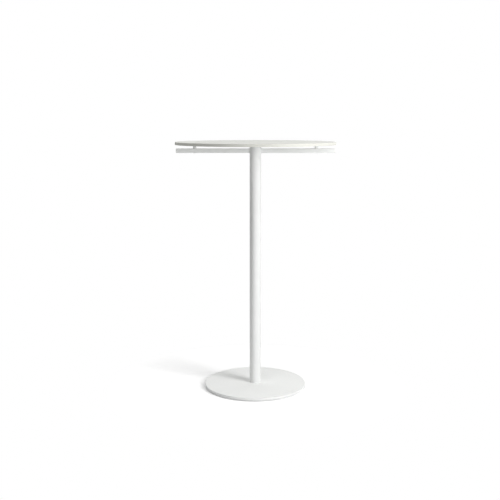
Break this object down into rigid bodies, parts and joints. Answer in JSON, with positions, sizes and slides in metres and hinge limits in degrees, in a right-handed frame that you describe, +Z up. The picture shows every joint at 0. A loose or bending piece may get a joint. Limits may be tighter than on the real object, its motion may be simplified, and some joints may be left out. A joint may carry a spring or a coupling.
{
  "type": "wine table",
  "caption": "Tall white pedestal table: thin round top held off a straight square rail by spacers, round column, flat round base plate on levelling feet.",
  "frame": {"origin": "on the floor, below the column's axis", "axes": "+Z up along the column, +X along the cross rail to the right, +Y to the back"},
  "size_m": [0.6999, 0.7, 1.1],
  "materials": {
    "top_lacquer": "satin white lacquer on board",
    "frame_paint": "fine satin powder coat",
    "white_plastic": "moulded",
    "foot_plastic": "moulded",
    "zinc_steel": "bright zinc",
    "insert_brass": "turned"
  },
  "bodies": {
    "table": {"tabletop": "top_lacquer", "top_plate": "frame_paint", "cross_rail": "frame_paint", "column_tube": "frame_paint", "base_plate": "frame_paint", "column_foot_plug": "zinc_steel", "base_bolt": "zinc_steel", "base_dowel": "zinc_steel", "spacer_left": "frame_paint", "spacer_screw_left": "zinc_steel", "spacer_washer_left": "zinc_steel", "spacer_insert_left": "insert_brass", "rail_plug_left": "white_plastic", "rail_cap_left": "white_plastic", "spacer_right": "frame_paint", "spacer_screw_right": "zinc_steel", "spacer_washer_right": "zinc_steel", "spacer_insert_right": "insert_brass", "rail_plug_right": "white_plastic", "rail_cap_right": "white_plastic", "plate_screw_front_left": "zinc_steel", "plate_insert_front_left": "insert_brass", "plate_screw_front_right": "zinc_steel", "plate_insert_front_right": "insert_brass", "plate_screw_back_right": "zinc_steel", "plate_insert_back_right": "insert_brass", "plate_screw_back_left": "zinc_steel", "plate_insert_back_left": "insert_brass"},
    "foot_front_left": {"foot_pad_front_left": "foot_plastic", "foot_stud_front_left": "zinc_steel"},
    "foot_front_right": {"foot_pad_front_right": "foot_plastic", "foot_stud_front_right": "zinc_steel"},
    "foot_back_right": {"foot_pad_back_right": "foot_plastic", "foot_stud_back_right": "zinc_steel"},
    "foot_back_left": {"foot_pad_back_left": "foot_plastic", "foot_stud_back_left": "zinc_steel"}
  },
  "joints": [
    {"name": "front_left_foot_height", "type": "slide", "parent": "table", "child": "foot_front_left", "axis": [0, 0, -1], "range_m": [0, 0.004]},
    {"name": "front_right_foot_height", "type": "slide", "parent": "table", "child": "foot_front_right", "axis": [0, 0, -1], "range_m": [0, 0.004]},
    {"name": "back_right_foot_height", "type": "slide", "parent": "table", "child": "foot_back_right", "axis": [0, 0, -1], "range_m": [0, 0.004]},
    {"name": "back_left_foot_height", "type": "slide", "parent": "table", "child": "foot_back_left", "axis": [0, 0, -1], "range_m": [0, 0.004]}
  ]
}
